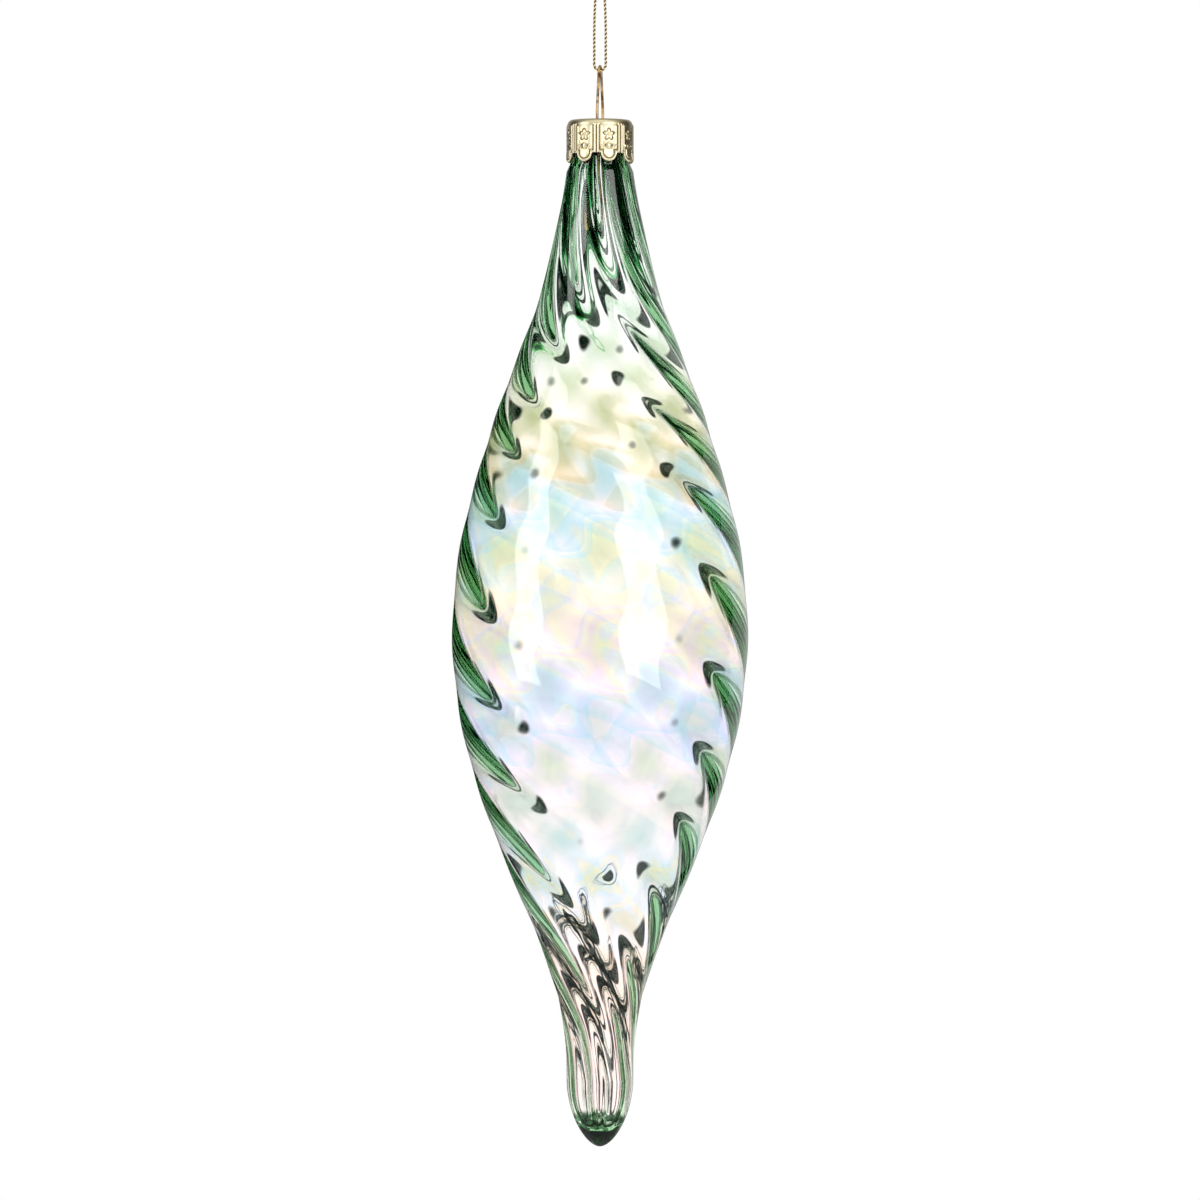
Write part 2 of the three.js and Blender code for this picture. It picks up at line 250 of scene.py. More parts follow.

# Painted reflection: the colours that the pearly coating shows in reflection, painted down the drop
# as
# bands of tint: depth below the rim in metres, colour seen through both walls
PAINTED_PEARL_REFLECTION_BANDS = [
    (0.008, (242, 250, 243)),
    (0.048, (244, 251, 242)),
    (0.058, (246, 250, 230)),
    (0.066, (250, 245, 218)),
    (0.073, (224, 215, 168)),
    (0.078, (217, 211, 174)),
    (0.0792, (238, 236, 224)),
    (0.083, (212, 234, 248)),
    (0.089, (202, 232, 254)),
    (0.0898, (236, 246, 240)),
    (0.0965, (212, 242, 246)),
    (0.0975, (253, 248, 214)),
    (0.104, (255, 242, 214)),
    (0.1078, (255, 238, 226)),
    (0.1086, (230, 230, 254)),
    (0.113, (254, 243, 219)),
    (0.118, (253, 226, 240)),
    (0.1225, (255, 244, 212)),
    (0.1233, (226, 242, 252)),
    (0.129, (220, 224, 254)),
    (0.1372, (202, 228, 255)),
    (0.138, (248, 236, 250)),
    (0.1505, (246, 240, 230)),
    (0.1513, (234, 232, 232)),
    (0.16, (246, 244, 246)),
    (0.1695, (218, 238, 253)),
    (0.1702, (255, 242, 204)),
    (0.176, (234, 242, 252)),
    (0.182, (252, 238, 224)),
    (0.19, (252, 234, 214)),
    (0.216, (250, 238, 226)),
    (0.228, (236, 242, 228)),
]
BAND_SPAN = 0.23
# How far the bands drift up and down, in metres, and the scale of the noise that moves them
BAND_DRIFT = 0.008
DRIFT_SCALE = 18
SCREEN_WHITE = 255
# Takes back the green that both walls give to light that goes straight through
STRAIGHT_TINT = (1, 0.885, 0.984)
# How strongly the painted reflection of the pearly coating tints the glass
PAINTED_REFLECTION_STRENGTH = 0.92

# Painted shade: dark pools, with green edges, painted into the glass where it refracts the dark
# round it:
# share of the way into a pool, tint painted on the glass there
CLEAR = (1, 1, 1)
NECK_PAINTED_SHADE = [
    (0.238, CLEAR),
    (0.25, (0.15, 0.5, 0.2)),
    (0.262, CLEAR),
    (0.315, CLEAR),
    (0.327, (0.03, 0.5, 0.07)),
    (0.34, (0.006, 0.02, 0.01)),
    (0.42, (0.02, 0.045, 0.03)),
    (0.44, CLEAR),
    (0.52, CLEAR),
    (0.535, (0.008, 0.3, 0.04)),
    (0.56, (0.005, 0.02, 0.01)),
    (0.7, (0.03, 0.07, 0.04)),
    (1, (0.01, 0.03, 0.015)),
]
TAIL_PAINTED_SHADE = [
    (0.22, CLEAR),
    (0.24, (0.04, 0.05, 0.05)),
    (0.26, CLEAR),
    (0.307, CLEAR),
    (0.312, (0.004, 0.01, 0.012)),
    (0.344, (0.004, 0.01, 0.012)),
    (0.35, (0.8, 0.74, 0.68)),
    (0.372, (0.8, 0.74, 0.68)),
    (0.378, (0.005, 0.01, 0.01)),
    (0.402, (0.008, 0.015, 0.015)),
    (0.41, (0.6, 0.56, 0.5)),
    (0.435, (0.6, 0.56, 0.5)),
    (0.445, (0.02, 0.03, 0.03)),
    (1, (0.03, 0.04, 0.035)),
]
POOL_SPAN = 3
# The noise that makes the pools' edges uneven, drawn out along the drop
POOL_NOISE_SCALE = 260
POOL_UNEVENNESS = 0.7
POOL_STRETCH = (1, 1, 0.12)
# Pools of painted shade in the neck: start, length and difference between ribs, in metres, then
# width and taper in heights of a rib, and the depths between which they end
NECK_POOL_START = 0.009
NECK_POOL_LENGTH = 0.031
NECK_POOL_STAGGER = 0.009
NECK_POOL_WIDTH = 0.35
NECK_POOL_TAPER = 1.4
NECK_POOL_END = (0.06, 0.066)
# Painted green streaks inside the neck's painted shade
NECK_SHADE_STREAK = (0.02, 0.38, 0.05)
STREAK_NOISE = (900, 3)
STREAK_EDGE = (0.5, 0.62)
STREAK_INSET = (-0.02, 0.08)
STREAK_SHARE = 0.3
# Pools of painted shade in the tail, likewise; they narrow further down
TAIL_POOL_START = 0.19
TAIL_POOL_LENGTH = 0.012
TAIL_POOL_STAGGER = 0.008
TAIL_CREST_SHARE = 0.85
TAIL_INSET = 0.74
TAIL_NARROWING = 0.24
TAIL_NARROWS = (0.198, 0.21)
TAIL_BEGINS = (0.165, 0.172)
TAIL_ENDS = (0.217, 0.221)
# Painted shade on the solid tip: dark patches in place of the dark facets that it refracts
TIP_PAINTED_SHADE = (0.03, 0.09, 0.04)
TIP_NOISE_SCALE = 330
TIP_PATCH_EDGE = (0.5, 0.53)
TIP_BEGINS = (0.221, 0.2225)

# The stage
LIGHT_BOUNCES = 32
SENSOR_WIDTH = 36
FRAME_MIDDLE = -0.14245
FLOOR_HEIGHT = -0.75
FLOOR_RADIUS = 1.6
FLOOR_SIDES = 96
FLOOR_COLOUR = (0.86, 0.86, 0.86, 1)
# The floor's own white: its share, then its level through glass and as glass mirrors it
FLOOR_WHITE = 0.6
FLOOR_THROUGH_GLASS = 2.7
FLOOR_IN_GLASS = 0.1
# Softboxes: angle from the camera and width of each, then what all share
LEFT_LAMP = (math.radians(-60), 0.5)
RIGHT_LAMP = (math.radians(34), 0.7)
RIM_LAMP = (math.radians(148), 1.04)
LAMP_ELEVATION = math.radians(12)
LAMP_HEIGHT = 1.17
LAMP_DISTANCE = 1.2
# What rays through the glass see: white panels, the dark between them and a ceiling
PANEL_HALF_WIDTH = math.radians(15)
PANEL_SOFTNESS = math.radians(2)
PANEL_TOP = math.radians(22)
PANEL_BOTTOM = math.radians(-60)
PANEL_LEVEL = 1.9
GAP_START = math.radians(17.7)
GAP_FULL = math.radians(19.5)
GAP_COLOUR = (0.003, 0.02, 0.02)
CEILING_COLOUR = (0.01, 0.06, 0.025)
# What rays that light the matt floor see
AMBIENT = 0.8
# What mirrors see: softboxes in the glass, the rear one fainter, and in the metal a bright front,
# dark sides and a fair back and top
SOFTBOX_LEVEL = 3
SOFTBOX_EDGE = math.radians(0.7)
RIM_SHARE = 0.2
METAL_FRONT = 0.62
METAL_SIDE = 0.04
METAL_BACK = 0.35
METAL_ABOVE = 0.3
ABOVE_START = math.radians(25)
ABOVE_FULL = math.radians(60)
SIDE_START = -0.1
FRONT_START = 0.45
BACK_START = 0.5
BACK_FULL = 0.95


def length_setting(name, description, default, least=0):
    """A setting for a length in metres."""
    return FloatProperty(
        name=name, description=description, default=default, min=least,
        unit="LENGTH", precision=5,
    )


def colour_setting(name, description, default):
    """A setting for a colour."""
    return FloatVectorProperty(
        name=name, description=description, default=default, min=0, max=1,
        subtype="COLOR",
    )


class ThreadSettings(bpy.types.PropertyGroup):
    diameter: length_setting("Diameter", "Thickness of the twisted thread", 0.00065, least=0.0003)
    lay: length_setting("Lay", "Length of one full turn of the two plies", 0.00185, least=0.0005)
    gold: colour_setting("Gold", "Colour of the metallic plies", (0.86, 0.6, 0.2))
    # Painted shade: the near-black colour painted into the valleys between the plies
    painted_valley_shade: colour_setting("Shade", "Colour in the valleys between the plies", (0.012, 0.005, 0.002))


class WireSettings(bpy.types.PropertyGroup):
    diameter: length_setting("Diameter", "Thickness of the bail's wire", 0.0006, least=0.0003)
    bright: colour_setting(
        "Bright metal", "Colour of the wire where it is clean", (0.75, 0.48, 0.19)
    )
    aged: colour_setting(
        "Aged metal", "Colour of the wire where it is tarnished", (0.13, 0.07, 0.035)
    )


class CapSettings(bpy.types.PropertyGroup):
    emboss: length_setting("Emboss", "Height of the stamped ornament on the panels", 0.00016)
    gold: colour_setting("Gold", "Colour of the sheet", (0.9, 0.8, 0.52))
    patina: colour_setting("Patina", "Colour in the grooves of the stamping", (0.1, 0.06, 0.02))


class GlassSettings(bpy.types.PropertyGroup):
    belly: length_setting("Belly", "Diameter at the widest place", 0.066, least=0.02)
    ripple: length_setting(
        "Ripple", "Height of the ribs' slight waves on the outer surface", 0.00014
    )
    zigzag: length_setting(
        "Zigzag", "How far the ribs pull the bands of colour up and down", 0.0065
    )
    density: FloatProperty(
        name="Density", description="How fast the glass absorbs light",
        default=195, min=0,
    )
    body_colour: colour_setting(
        "Body colour", "Colour of the glass where it is thick", (0.02, 0.48, 0.08)
    )


class StageSettings(bpy.types.PropertyGroup):
    azimuth: FloatProperty(
        name="Camera azimuth", description="Angle of the camera about the ornament",
        default=math.radians(10), subtype="ANGLE",
    )
    distance: length_setting(
        "Camera distance", "Distance from the camera to the ornament's axis", 1.6, least=0.5
    )
    half_frame: length_setting(
        "Half frame", "Half the height that the picture takes in", 0.1342, least=0.05
    )
    panels: IntProperty(
        name="Backdrop panels",
        description="White panels that stand round the ornament, with dark gaps between them",
        default=8, min=1,
    )
    left_power: FloatProperty(
        name="Left lamp", description="Power of the left softbox",
        default=3, min=0, unit="POWER",
    )
    right_power: FloatProperty(
        name="Right lamp", description="Power of the right softbox",
        default=4.2, min=0, unit="POWER",
    )


class OrnamentSettings(bpy.types.PropertyGroup):
    thread: PointerProperty(type=ThreadSettings)
    wire: PointerProperty(type=WireSettings)
    cap: PointerProperty(type=CapSettings)
    glass: PointerProperty(type=GlassSettings)
    stage: PointerProperty(type=StageSettings)


class Socket:
    """An output of a node; arithmetic on it adds Math nodes."""

    def __init__(self, nodes, output):
        self.nodes = nodes
        self.output = output

    def math(self, operation, *values):
        sockets = dict(enumerate(values))
        return self.nodes.add("ShaderNodeMath", {"operation": operation}, sockets)

    def __add__(self, other):
        return self.math("ADD", self, other)

    def __radd__(self, other):
        return self.math("ADD", other, self)

    def __sub__(self, other):
        return self.math("SUBTRACT", self, other)

    def __rsub__(self, other):
        return self.math("SUBTRACT", other, self)

    def __mul__(self, other):
        return self.math("MULTIPLY", self, other)

    def __rmul__(self, other):
        return self.math("MULTIPLY", other, self)

    def __truediv__(self, other):
        return self.math("DIVIDE", self, other)

    def __rtruediv__(self, other):
        return self.math("DIVIDE", other, self)


class Nodes:
    """The node tree of one material or of the world."""

    def __init__(self, owner):
        owner.use_nodes = True
        self.tree = owner.node_tree
        self.tree.nodes.clear()

    def node(self, kind, settings=None, sockets=None):
        """Add a node: its settings first, then the values or links of its sockets."""
        node = self.tree.nodes.new(kind)
        for name, value in (settings or {}).items():
            if name == "stops":
                self.set_stops(node.color_ramp, value)
            elif name == "interpolation":
                node.color_ramp.interpolation = value
            else:
                setattr(node, name, value)
        for name, value in (sockets or {}).items():
            if isinstance(value, Socket):
                self.tree.links.new(value.output, node.inputs[name])
            else:
                node.inputs[name].default_value = value
        return node

    def add(self, kind, settings=None, sockets=None, output=0):
        """Add a node and give one of its outputs."""
        return Socket(self, self.node(kind, settings, sockets).outputs[output])

    @staticmethod
    def set_stops(ramp, stops):
        while len(ramp.elements) > 1:
            ramp.elements.remove(ramp.elements[-1])
        for i, (place, colour) in enumerate(stops):
            element = ramp.elements[0] if i == 0 else ramp.elements.new(place)
            element.position = place
            element.color = (*colour, 1)

    def attribute(self, name):
        return self.add("ShaderNodeAttribute", {"attribute_name": name}, output="Fac")

    def place(self):
        return self.add("ShaderNodeTexCoord", output="Object")

    def ease(self, value, low, high):
        """0 below low and 1 above high, smooth between them."""
        sockets = {"Value": value, "From Min": low, "From Max": high}
        return self.add("ShaderNodeMapRange", {"interpolation_type": "SMOOTHSTEP"}, sockets)

    def edge(self, value, place, softness):
        """0 below a place and 1 above it, eased over the softness on both sides."""
        return self.ease(value, place - softness, place + softness)

    def mix(self, factor, a, b, blend="MIX"):
        """Mix two colours."""
        sockets = {0: factor, 6: opaque(a), 7: opaque(b)}
        return self.add("ShaderNodeMix", {"data_type": "RGBA", "blend_type": blend}, sockets, 2)

    def ramp(self, factor, stops):
        """Colours at places along a factor, eased between them."""
        settings = {"stops": stops, "interpolation": "EASE"}
        return self.add("ShaderNodeValToRGB", settings, {0: factor})

    def noise(self, vector, scale, detail=2.0):
        sockets = {"Vector": vector, "Scale": scale, "Detail": detail}
        return self.add("ShaderNodeTexNoise", None, sockets)

    def bump(self, height, strength, distance):
        sockets = {"Height": height, "Strength": strength, "Distance": distance}
        return self.add("ShaderNodeBump", None, sockets)

    def surface(self, sockets):
        """Finish the tree with a Principled surface, and give its output node."""
        shader = self.add("ShaderNodeBsdfPrincipled", None, sockets)
        return self.node("ShaderNodeOutputMaterial", None, {"Surface": shader})


def opaque(colour):
    """A colour as a socket takes it: four numbers, or a link as it is."""
    return colour if isinstance(colour, Socket) else (*tuple(colour)[:3], 1)


def thread_material(thread):
    """Metallic plies, painted dark as shade in the valleys, with painted sheen on filaments along
    the lay.
    """
    material = bpy.data.materials.new("twisted gold thread")
    nodes = Nodes(material)
    crown = nodes.ease(nodes.attribute("crown"), *CROWN_EDGE)
    filaments = nodes.noise(nodes.place(), *FILAMENT_NOISE)
    sheen = nodes.mix(nodes.ease(filaments, *FILAMENT_EDGE), thread.gold, FILAMENT_SHEEN)
    nodes.surface({
        # Painted shade in the valleys between the plies, gold with painted sheen on the crowns
        "Base Color": nodes.mix(crown, thread.painted_valley_shade, sheen),
        "Metallic": THREAD_METALLIC,
        "Roughness": THREAD_ROUGHNESS + THREAD_DULLING * filaments,
        "Normal": nodes.bump(filaments, *FILAMENT_BUMP),
    })
    return material


def wire_material(wire):
    """Drawn wire, tarnished in patches, with fine lines along it."""
    material = bpy.data.materials.new("aged gold wire")
    nodes = Nodes(material)
    patches = nodes.ease(nodes.noise(nodes.place(), *TARNISH_NOISE), *TARNISH_EDGE)
    scratches = nodes.noise(nodes.place(), *SCRATCH_NOISE)
    nodes.surface({
        "Base Color": nodes.mix(patches, wire.bright, wire.aged),
        "Metallic": 1.0,
        "Roughness": WIRE_ROUGHNESS + WIRE_DULLING * scratches,
        "Normal": nodes.bump(scratches, *SCRATCH_BUMP),
    })
    return material


def cap_material(cap):
    """Bright stamped sheet: patina in the grooves, worn crests, a faintly uneven skin."""
    material = bpy.data.materials.new("stamped gold sheet")
    nodes = Nodes(material)
    relief = nodes.attribute("relief")
    place = nodes.place()
    cloud = nodes.noise(place, *CLOUD_NOISE)
    grain = nodes.noise(place, *GRAIN_NOISE)
    groove = 1 - nodes.ease(relief + GROOVE_UNEVENNESS * (cloud - NOISE_MEAN), *GROOVE_EDGE)
    worn = nodes.ease(relief, *WORN_EDGE)
    sheet = nodes.mix(nodes.ease(cloud, *CLOUD_EDGE), cap.gold, CLOUD_COLOUR)
    sheet = nodes.mix(worn * WORN_SHARE, sheet, WORN_COLOUR)
    nodes.surface({
        "Base Color": nodes.mix(groove * GROOVE_SHARE, sheet, cap.patina),
        "Metallic": 1.0,
        "Roughness": SHEET_ROUGHNESS + SHEET_DULLING * grain + GROOVE_DULLING * groove,
        "Normal": nodes.bump(grain, *GRAIN_BUMP),
    })
    return material


def glass_tint(levels):
    """A colour on the screen, as the tint each wall gives to light that crosses it."""
    light = Color([level / SCREEN_WHITE for level in levels]).from_srgb_to_scene_linear()
    return tuple(
        math.sqrt(1 - PAINTED_REFLECTION_STRENGTH * (1 - share)) * straight
        for share, straight in zip(light, STRAIGHT_TINT)
    )


def glass_material(glass):
    """Glass, green where light runs along it, with bands of painted pearl reflection and pools of
    painted shade at the ends.
    """
    material = bpy.data.materials.new("green glass with painted pearl reflection and shade")
    nodes = Nodes(material)
    place = nodes.place()
    depth = nodes.attribute("depth")
    wave = nodes.attribute("rib_wave")
    drift = (nodes.noise(place, DRIFT_SCALE) - NOISE_MEAN) * BAND_DRIFT
    level = depth + glass.zigzag * wave + drift
    # Painted reflection: the pearly coating's colours, in bands, as a tint of the glass
    bands = [(at / BAND_SPAN, glass_tint(colour)) for at, colour in PAINTED_PEARL_REFLECTION_BANDS]
    colour = nodes.ramp(level / BAND_SPAN, bands)
    output = nodes.surface({
        "Base Color": paint_shade_pools(nodes, colour, place, depth, wave),
        "Roughness": 0.0,
        "IOR": GLASS_IOR,
        "Transmission Weight": 1.0,
    })
    absorption = nodes.add(
        "ShaderNodeVolumeAbsorption",
        None,
        {"Color": opaque(glass.body_colour), "Density": glass.density},
    )
    nodes.tree.links.new(absorption.output, output.inputs["Volume"])
    return material


def paint_shade_pools(nodes, colour, place, depth, wave):
    """Paint shade into the glass: dark pools down the ribs from the neck, and up them from the
    tail.
    """
    end = nodes.attribute("rib_end")
    stretch = {0: place, 1: POOL_STRETCH}
    drawn = nodes.add("ShaderNodeVectorMath", {"operation": "MULTIPLY"}, stretch)
    crest = wave + POOL_UNEVENNESS * (nodes.noise(drawn, POOL_NOISE_SCALE) - NOISE_MEAN)

    # Painted shade: dark pools down the ribs from the neck
    reach = (depth - NECK_POOL_START + NECK_POOL_STAGGER * end) / NECK_POOL_LENGTH
    into_neck = crest + NECK_POOL_WIDTH - NECK_POOL_TAPER * reach
    pool = nodes.ramp((into_neck + 1) / POOL_SPAN, NECK_PAINTED_SHADE)
    streaks = nodes.ease(nodes.noise(drawn, *STREAK_NOISE), *STREAK_EDGE)
    inside = nodes.ease(into_neck, *STREAK_INSET)
    pool = nodes.mix(STREAK_SHARE * streaks * inside, pool, NECK_SHADE_STREAK)
    colour = nodes.mix(1 - nodes.ease(depth, *NECK_POOL_END), colour, pool, "MULTIPLY")

    # Painted shade: dark pools up the ribs from the tail
    reach = (TAIL_POOL_START + TAIL_POOL_STAGGER * end - depth) / TAIL_POOL_LENGTH
    narrow = TAIL_INSET + TAIL_NARROWING * nodes.ease(depth, *TAIL_NARROWS)
    into_tail = TAIL_CREST_SHARE * crest - reach.math("MAXIMUM", reach, narrow)
    pool = nodes.ramp((into_tail + 1) / POOL_SPAN, TAIL_PAINTED_SHADE)
    tail = nodes.ease(depth, *TAIL_BEGINS) * (1 - nodes.ease(depth, *TAIL_ENDS))
    colour = nodes.mix(tail, colour, pool, "MULTIPLY")

    # Painted shade: dark patches on the solid tip
    patches = nodes.ease(nodes.noise(place, TIP_NOISE_SCALE), *TIP_PATCH_EDGE)
    patches = patches * nodes.ease(depth, *TIP_BEGINS)
    return nodes.mix(patches, colour, TIP_PAINTED_SHADE, "MULTIPLY")


def light_paths(nodes):
    """1 or 0 for each kind that a ray may be: from the camera, glossy, sharp, or through glass."""
    path = nodes.node("ShaderNodeLightPath")
    kinds = ("Camera", "Glossy", "Singular", "Transmission")
    return [Socket(nodes, path.outputs[f"Is {kind} Ray"]) for kind in kinds]


def floor_material():
    """Matt pale floor that shows white and keeps the shadow on it. Through glass it is as bright as
    a panel, and the glass mirrors it faintly, like the dark round the softboxes."""
    material = bpy.data.materials.new("pale floor")
    nodes = Nodes(material)
    camera, glossy, sharp, through = light_paths(nodes)
    seen = camera.math("MINIMUM", camera + glossy + through, 1)
    diffuse = nodes.add("ShaderNodeBsdfDiffuse", None, {"Color": FLOOR_COLOUR})
    in_glass = glossy * sharp * (1 - through)
    level = 1 + (FLOOR_THROUGH_GLASS - 1) * through + (FLOOR_IN_GLASS - 1) * in_glass
    white = nodes.add("ShaderNodeEmission", None, {"Color": (1, 1, 1, 1), "Strength": level})
    mixed = nodes.add("ShaderNodeMixShader", None, {0: FLOOR_WHITE * seen, 1: diffuse, 2: white})
    nodes.node("ShaderNodeOutputMaterial", None, {"Surface": mixed})
    return material


def add_object(name, data):
    """Put a new object into the scene."""
    added = bpy.data.objects.new(name, data)
    bpy.context.scene.collection.objects.link(added)
    return added


def add_mesh(bm, name, material):
    """Put a mesh of one material into the scene."""
    mesh = bpy.data.meshes.new(name)
    bm.to_mesh(mesh)
    bm.free()
    mesh.materials.append(material)
    return add_object(name, mesh)


def finish_piece(bm, name, material, body, node):
    """Close and orient a mesh, and hand it over as the piece that stands for a node."""
    bmesh.ops.remove_doubles(bm, verts=bm.verts, dist=MERGE_DISTANCE)
    bmesh.ops.recalc_face_normals(bm, faces=bm.faces)
    piece = add_mesh(bm, name, material)
    piece.data.shade_smooth()
    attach(piece, body)
    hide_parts(node)
    return piece


def cubic(t, start, leave, end, arrive):
    """A curve from start to end that leaves and arrives with the given slopes."""
    return (
        start * (2 * t**3 - 3 * t**2 + 1)
        + leave * (t**3 - 2 * t**2 + t)
        + end * (3 * t**2 - 2 * t**3)
        + arrive * (t**3 - t**2)
    )


def smooth_route(points, steps):
    """A smooth curve through the points, with steps between each two of them."""
    ends = [2 * points[0] - points[1], *points, 2 * points[-1] - points[-2]]
    route = []
    for before, start, end, after in zip(ends, ends[1:], ends[2:], ends[3:]):
        pairs = ((before, start), (start, end), (end, after))
        lead, span, trail = (math.sqrt((b - a).length) for a, b in pairs)
        leave = (start - before) / lead - (end - before) / (lead + span) + (end - start) / span
        arrive = (end - start) / span - (after - start) / (span + trail) + (after - end) / trail
        route += [cubic(i / steps, start, leave * span, end, arrive * span) for i in range(steps)]
    route.append(points[-1].copy())
    return route


def travelling_frames(route, lay=None):
    """A matrix at each point. Its Z follows the route, and it turns once per lay, if given."""
    ahead = [(b - a).normalized() for a, b in zip(route, route[1:])]
    tangents = [ahead[0], *((a + b).normalized() for a, b in zip(ahead, ahead[1:])), ahead[-1]]
    turn = UP.rotation_difference(tangents[0])
    travelled = 0
    frames = []
    for i, point in enumerate(route):
        if i:
            turn = tangents[i - 1].rotation_difference(tangents[i]) @ turn
            travelled += (point - route[i - 1]).length
        twist = FULL_TURN * travelled / lay if lay else 0
        turned = turn.to_matrix().to_4x4() @ Matrix.Rotation(twist, 4, "Z")
        frames.append(Matrix.Translation(point) @ turned)
    return frames


def ply_section(bm, diameter):
    """The section of a thread of two plies, with each vertex's height on its ply as crown."""
    crown = bm.verts.layers.float.get("crown") or bm.verts.layers.float.new("crown")
    circle = bmesh.ops.create_circle(bm, segments=PLY_SIDES, radius=diameter / 2)["verts"]
    for vert in circle:
        height = abs(vert.co.x) / (diameter / 2)
        vert.co *= PLY_WAIST + (1 - PLY_WAIST) * height**PLY_FULLNESS
        vert[crown] = height
    return circle


def sweep(bm, section, frames):
    """Carry a closed section along the frames, and close both ends."""
    edges = list({edge for vert in section for edge in vert.link_edges})
    bmesh.ops.contextual_create(bm, geom=edges)
    bmesh.ops.transform(bm, matrix=frames[0], verts=section)
    for before, after in zip(frames, frames[1:]):
        grown = bmesh.ops.extrude_edge_only(bm, edges=edges)["geom"]
        section = [item for item in grown if isinstance(item, bmesh.types.BMVert)]
        edges = [item for item in grown if isinstance(item, bmesh.types.BMEdge)]
        edges = [edge for edge in edges if edge.is_boundary]
        bmesh.ops.transform(bm, matrix=after @ before.inverted(), verts=section)
    bmesh.ops.contextual_create(bm, geom=edges)


def spin_section(bm, verts, steps):
    """Join the vertices of a section in a line, and turn it once round the axis."""
    edges = [bm.edges.new(pair) for pair in zip(verts, verts[1:])]
    bmesh.ops.spin(
        bm, geom=verts + edges, cent=(0, 0, 0), axis=UP, angle=FULL_TURN,
        steps=steps, use_merge=True, use_duplicate=False,
    )
    bmesh.ops.remove_doubles(bm, verts=bm.verts, dist=MERGE_DISTANCE)


def loop_route():
    """The bight of thread: down one strand, under the wire and up the other."""
    down = [Vector((-x, 0, z)) for x, z in STRAND_ROUTE]
    up = [Vector((x, 0, z)) for x, z in reversed(STRAND_ROUTE[:-1])]
    return smooth_route(down + up, LOOP_STEPS)


def knot_strands():
    """Both strands through the overhand knot, along a polynomial trefoil, each on into its tail."""
    reach = [KNOT_REACH * (2 * i / KNOT_POINTS - 1) for i in range(KNOT_POINTS + 1)]
    centre = [
        Vector((
            KNOT_WIDTH * (t**3 - 3 * t),
            KNOT_DEPTH * (t**4 - 4 * t**2 + 2),
            KNOT_CENTRE + KNOT_RISE * (t**5 - 10 * t),
        ))
        for t in reach
    ]
    frames = travelling_frames(centre)
    strands = []
    for side in (-1, 1):
        start = [Vector((side * STRAND_ROUTE[0][0], 0, STRAND_ROUTE[0][1]))]
        beside = [frame @ Vector((side * STRAND_SPACING, 0, 0)) for frame in frames]
        tail = [Vector((side * x, 0, z)) for x, z in TAIL_ROUTE]
        strands.append(smooth_route(start + beside + tail, KNOT_STEPS))
    return strands


def bail_route(wire_radius):
    """The wire from one leg's tip over the eye to the other's, in the YZ plane."""
    arc_centre = EYE_TOP - wire_radius - EYE_TOP_RADIUS
    shoulder_z = CAP_TOP + LEG_PARALLEL
    reach = math.hypot(LEG_HALF_SPACING, arc_centre - shoulder_z)
    lean = math.atan2(LEG_HALF_SPACING, arc_centre - shoulder_z)
    arc_end = math.pi - math.acos(EYE_TOP_RADIUS / reach) - lean
    arc = [
        Vector((0, EYE_TOP_RADIUS * math.sin(angle), arc_centre + EYE_TOP_RADIUS * math.cos(angle)))
        for angle in (arc_end * (1 - i / EYE_ARC_POINTS) for i in range(EYE_ARC_POINTS))
    ]
    tip = Vector((0, LEG_TIP_HALF_SPACING, CAP_TOP - LEG_LENGTH))
    plate = Vector((0, LEG_HALF_SPACING, CAP_TOP - CAP_WALL))
    shoulder = Vector((0, LEG_HALF_SPACING, shoulder_z))
    bends = [tip, plate, shoulder, arc[0]]
    right = [point for a, b in zip(bends, bends[1:]) for point in (a, (a + b) / 2)] + arc
    left = [Vector((0, -point.y, point.z)) for point in reversed(right)]
    top = Vector((0, 0, EYE_TOP - wire_radius))
    return smooth_route([*right, top, *left], WIRE_STEPS)


def ease(low, high, value):
    """0 below low and 1 above high, smooth between them."""
    share = min(max((value - low) / (high - low), 0), 1)
    return share * share * (3 - 2 * share)


def bell(value, width):
    """1 at a value of 0, falling away on both sides over the width."""
    return math.exp(-((value / width) ** 2))


def panel_side(angle):
    """Where an angle lies in its panel: 0 at its middle, -1 and 1 at the ridges beside it."""
    middle = -math.pi / 2 + PANEL_OFFSET + PANEL_PITCH / 2
    turns = (angle - middle) / PANEL_PITCH
    return 2 * (turns - round(turns))


def lobe_drop(side):
    """How far the lobe under a panel reaches below the skirt."""
    return LOBE_DROP * math.sqrt(max(0, 1 - (side / LOBE_SHARE) ** 2))


def stamped_relief(side, depth):
    """Relief of the stamping at a place on a panel, from -1 to 1 of the emboss."""
    half_width = CAP_RADIUS * PANEL_PITCH / 2
    x = side * half_width
    to_lobe = LOBE_SHARE * half_width - math.hypot(x, max(depth - CAP_SKIRT, 0))
    to_edge = max(CAP_SKIRT - depth, to_lobe) + LINE_TO_EDGE
    to_outline = min(half_width - abs(x), to_edge, depth - CAP_SHOULDER + LINE_TO_TOP)
    lines = sum(
        relief * bell(to_outline - distance, width)
        for distance, relief, width in PANEL_LINES
    )
    return lines + rosette(x, depth - ROSETTE_DEPTH) + seeds(x, depth)


